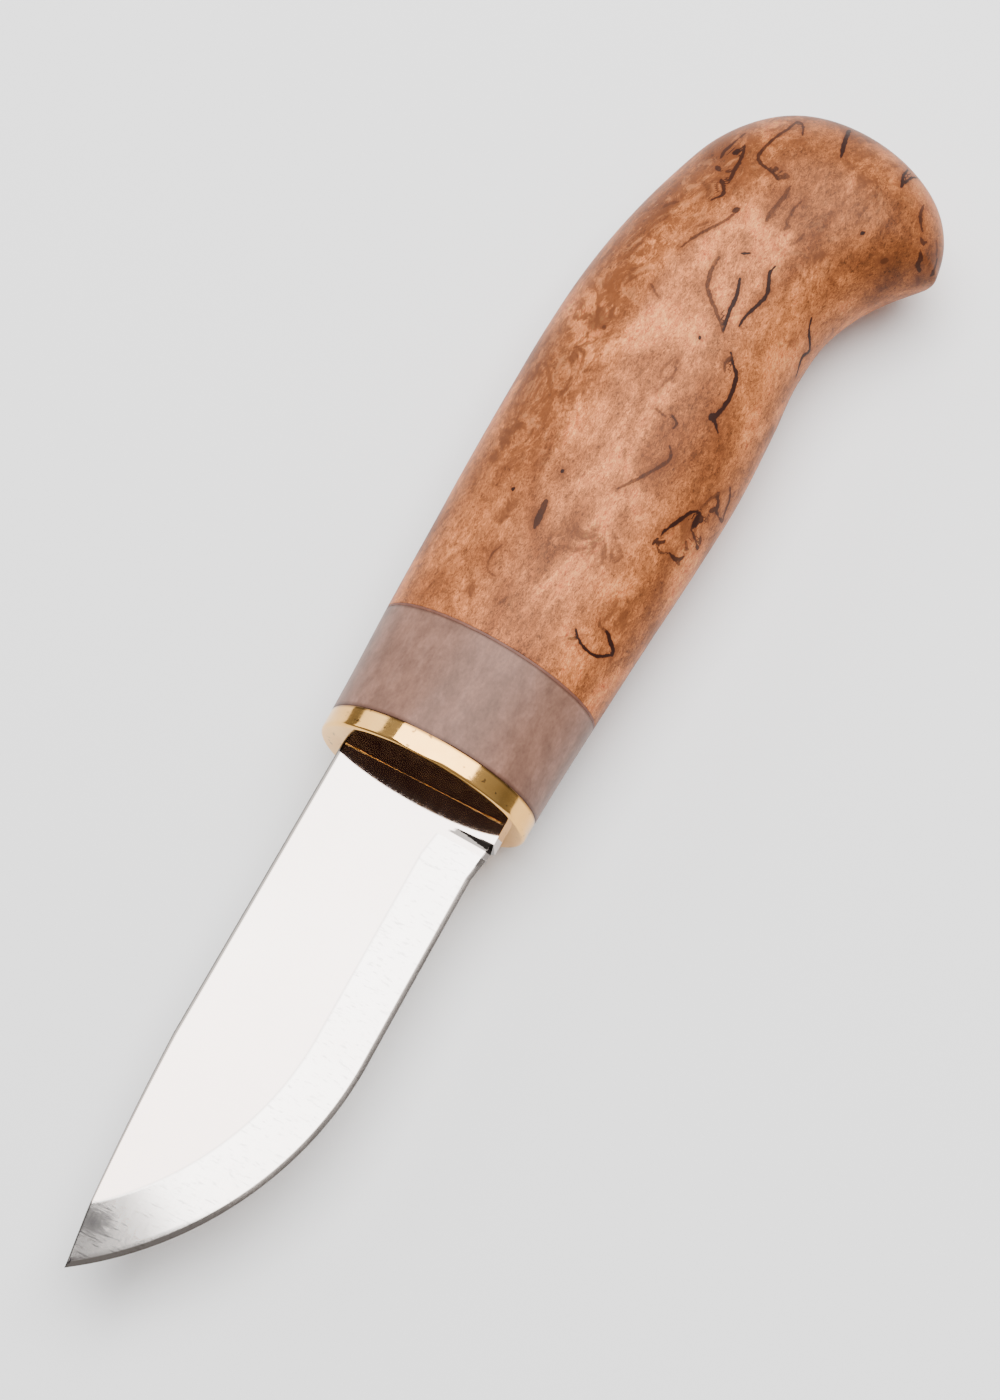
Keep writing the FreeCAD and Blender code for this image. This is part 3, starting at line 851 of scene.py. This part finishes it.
def fleck_depth(tree):
    """1 inside the dark flecks with ragged edges, and the brown halo round them."""
    way = tree.nodes.new("ShaderNodeSeparateXYZ")
    tree.links.new(attribute(tree, "fleck_way", "Vector"), way.inputs[0])
    x_square = times(tree, way.outputs[0], way.outputs[0])
    y_square = times(tree, way.outputs[1], way.outputs[1])
    apart = maths(tree, "SQRT", plus(tree, x_square, y_square))
    ragged = noise(tree, mapped(tree, (900, 1500, 1500)), 1.0, 3, 0.6)
    swell = times(tree, less(tree, ragged, 0.45), 0.55)
    edge = less(tree, less(tree, apart, way.outputs[2]), swell)
    far = attribute(tree, "fleck_far", "Fac")
    inside = times(tree, stepped(tree, edge, 0.09, -0.05), stepped(tree, far, 0.6, 0.4))
    ragged_far = less(tree, far, times(tree, swell, 3.0))
    halo = stepped(tree, ragged_far, 1.0, 0.0)
    return inside, halo


def birch_material():
    """Curly birch: a pale body with fine grain, brown flakes in its flaky zones, clouds and flecks."""
    material, tree, shader = new_material("curly_birch")
    wave = noise(tree, mapped(tree, (70, 120, 120)), 1.0, 3, 0.55, 0.8)
    flakes = noise(tree, mapped(tree, (170, 250, 250)), 1.0, 7, 0.66, 2.4)
    grain = noise(tree, mapped(tree, (1650, 3700, 3700), (0, 0, 0.1)), 1.0, 3, 0.65, 1.3)
    curl = noise(tree, mapped(tree, (420, 700, 700)), 1.0, 3, 0.55, 1.2)
    colour = ramp(tree, wave, [(0.34, (0.19, 0.056, 0.017)), (0.5, (0.38, 0.121, 0.038)),
                               (0.64, (0.66, 0.213, 0.068))])
    colour = mix(tree, 0.45, colour, ramp(tree, curl, [(0.34, 0.2), (0.66, 0.8)]), "OVERLAY")
    colour = mix(tree, 0.95, colour, ramp(tree, grain, [(0.33, 0.17), (0.67, 0.83)]), "OVERLAY")
    shade = attribute(tree, "shade", "Fac")
    # Painted shade from the shade values: the sides darkened where the handle turns away, and the butt
    # darker.
    colour = mix(tree, shade, colour, (0.48, 0.46, 0.42), "MULTIPLY")
    flaky = attribute(tree, "flaky", "Fac")
    flake = times(tree, stepped(tree, flakes, 0.49, 0.56), flaky)
    colour = tinted(tree, colour, flake, 0.85, (0.15, 0.042, 0.011))
    gleam = times(tree, stepped(tree, flakes, 0.46, 0.38), flaky)
    colour = tinted(tree, colour, gleam, 0.35, (0.62, 0.23, 0.085))
    cloud = attribute(tree, "cloud", "Fac")
    uneven = plus(tree, cloud, times(tree, less(tree, flakes, 0.5), 2.2))
    amber = times(tree, stepped(tree, uneven, 0.15, 0.65), stepped(tree, cloud, 0.04, 0.2))
    colour = tinted(tree, colour, cloud, 0.42, (0.17, 0.055, 0.018))
    colour = tinted(tree, colour, amber, 0.8, (0.11, 0.032, 0.010))
    inside, halo = fleck_depth(tree)
    ink = attribute(tree, "fleck_ink", "Fac")
    colour = tinted(tree, colour, halo, 0.42, (0.13, 0.036, 0.011))
    colour = mix(tree, times(tree, inside, ink), colour, (0.021, 0.0045, 0.0015))
    tree.links.new(colour, shader.inputs["Base Color"])
    tree.links.new(ramp(tree, grain, [(0.3, 0.38), (0.7, 0.55)]), shader.inputs["Roughness"])
    shader.inputs["Specular IOR Level"].default_value = 0.13
    fine = bump(tree, grain, 0.15, 0.00004)
    tree.links.new(bump(tree, flakes, 0.12, 0.0002, fine), shader.inputs["Normal"])
    return material


steel = steel_material()
brass = brass_material()
antler_look = antler_material()
fibre_look = plain_material("red_fibre", (0.09, 0.025, 0.012), (0.16, 0.05, 0.025), 900, 0.6)
epoxy_look = plain_material("cast_epoxy", (0.30, 0.19, 0.08), (0.40, 0.27, 0.13), 300, 0.25)
birch_look = birch_material()

for piece, look, node_name, slot_name in (
        (blade, steel, "blade", "blade_steel"),
        (tang, steel, "blade", "blade_steel"),
        (bolster, brass, "bolster", "bolster_brass"),
        (burr_left, brass, "bolster", "bolster_brass"),
        (burr_right, brass, "bolster", "bolster_brass"),
        (antler, antler_look, "antler_spacer", "reindeer_antler"),
        (liner, fibre_look, "spacer_liner", "liner_fibre"),
        (birch, birch_look, "birch_handle", "curly_birch")):
    piece.data.materials.append(look)
    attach(piece, "root")
    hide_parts(node_name)

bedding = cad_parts["tang_bedding"]
for material_slot in bedding.material_slots:
    material_slot.material = epoxy_look

# ---------------------------------------------------------------- floor, light and camera
floor_mesh = bpy.data.meshes.new("floor")
floor_mesh.from_pydata([(-9, -9, 0), (9, -9, 0), (9, 9, 0), (-9, 9, 0)], [], [(0, 1, 2, 3)])
floor = bpy.data.objects.new("floor", floor_mesh)
bpy.context.scene.collection.objects.link(floor)
floor_look, _, floor_shader = new_material("pale_floor")
floor_shader.inputs["Base Color"].default_value = (0.96, 0.96, 0.96, 1)
floor_shader.inputs["Roughness"].default_value = 0.9
floor_mesh.materials.append(floor_look)

# A dim room: bright overhead, darker towards the horizon, so that polished edges draw dark lines.
world = bpy.data.worlds.new("studio")
world.use_nodes = True
world_tree = world.node_tree
direction = world_tree.nodes.new("ShaderNodeTexCoord")
split = world_tree.nodes.new("ShaderNodeSeparateXYZ")
world_tree.links.new(direction.outputs["Generated"], split.inputs[0])
sky = ramp(world_tree, split.outputs[2], [(0.0, 0.45), (0.3, 0.32), (0.75, 0.7)])
background = world_tree.nodes["Background"]
world_tree.links.new(sky, background.inputs["Color"])
background.inputs["Strength"].default_value = 0.75
bpy.context.scene.world = world


def softbox(name, place, aim, size, power):
    """A rectangular area light at a place, turned to face a point."""
    data = bpy.data.lights.new(name, "AREA")
    data.shape = "RECTANGLE"
    data.size, data.size_y = size
    data.energy = power
    lamp = bpy.data.objects.new(name, data)
    lamp.location = place
    lamp.rotation_euler = (Vector(aim) - Vector(place)).to_track_quat("-Z", "Y").to_euler()
    bpy.context.scene.collection.objects.link(lamp)
    return lamp


softbox("top_softbox", (0.36, -0.02, 0.95), (0.2, 0, 0), (1.14, 1.1), 29)
softbox("spine_softbox", (0.1, 1.0, 0.55), (0, 0, 0), (0.9, 0.5), 3.5)

# A black card over the tip's end keeps the bolster's front face and its reflection in the blade dark.
card_mesh = bpy.data.meshes.new("black_card")
card_corners = [(-0.3, -0.26, 0), (0.3, -0.26, 0), (0.3, 0.26, 0), (-0.3, 0.26, 0)]
card_mesh.from_pydata(card_corners, [], [(0, 1, 2, 3)])
card = bpy.data.objects.new("black_card", card_mesh)
card.location = (-0.38, 0.27, 0.80)
card.rotation_euler = (Vector((0, 0, 0)) - card.location).to_track_quat("-Z", "Y").to_euler()
bpy.context.scene.collection.objects.link(card)
card_look, _, card_shader = new_material("black_velvet")
card_shader.inputs["Base Color"].default_value = (0.020, 0.014, 0.020, 1)
card_shader.inputs["Roughness"].default_value = 1.0
card_shader.inputs["Specular IOR Level"].default_value = 0.0
card_mesh.materials.append(card_look)
card.visible_camera = False

# The camera looks down past the tip, a little to the edge's side.
CAMERA_AT = Vector((ZERO_X - 144.25, ZERO_Y - 103.79, MID_Z + 417.3)) * MM
LOOK = Vector((0.3488, 0.2226, -0.9104)).normalized()
RIGHT = Vector((0.4618, -0.8861, -0.0397))
RIGHT = (RIGHT - LOOK * RIGHT.dot(LOOK)).normalized()
camera_data = bpy.data.cameras.new("camera")
camera_data.lens = 90.0
camera_data.clip_start = 0.01
camera = bpy.data.objects.new("camera", camera_data)
camera.matrix_world = Matrix((RIGHT, RIGHT.cross(LOOK), -LOOK)).transposed().to_4x4()
camera.location = CAMERA_AT
bpy.context.scene.collection.objects.link(camera)
bpy.context.scene.camera = camera
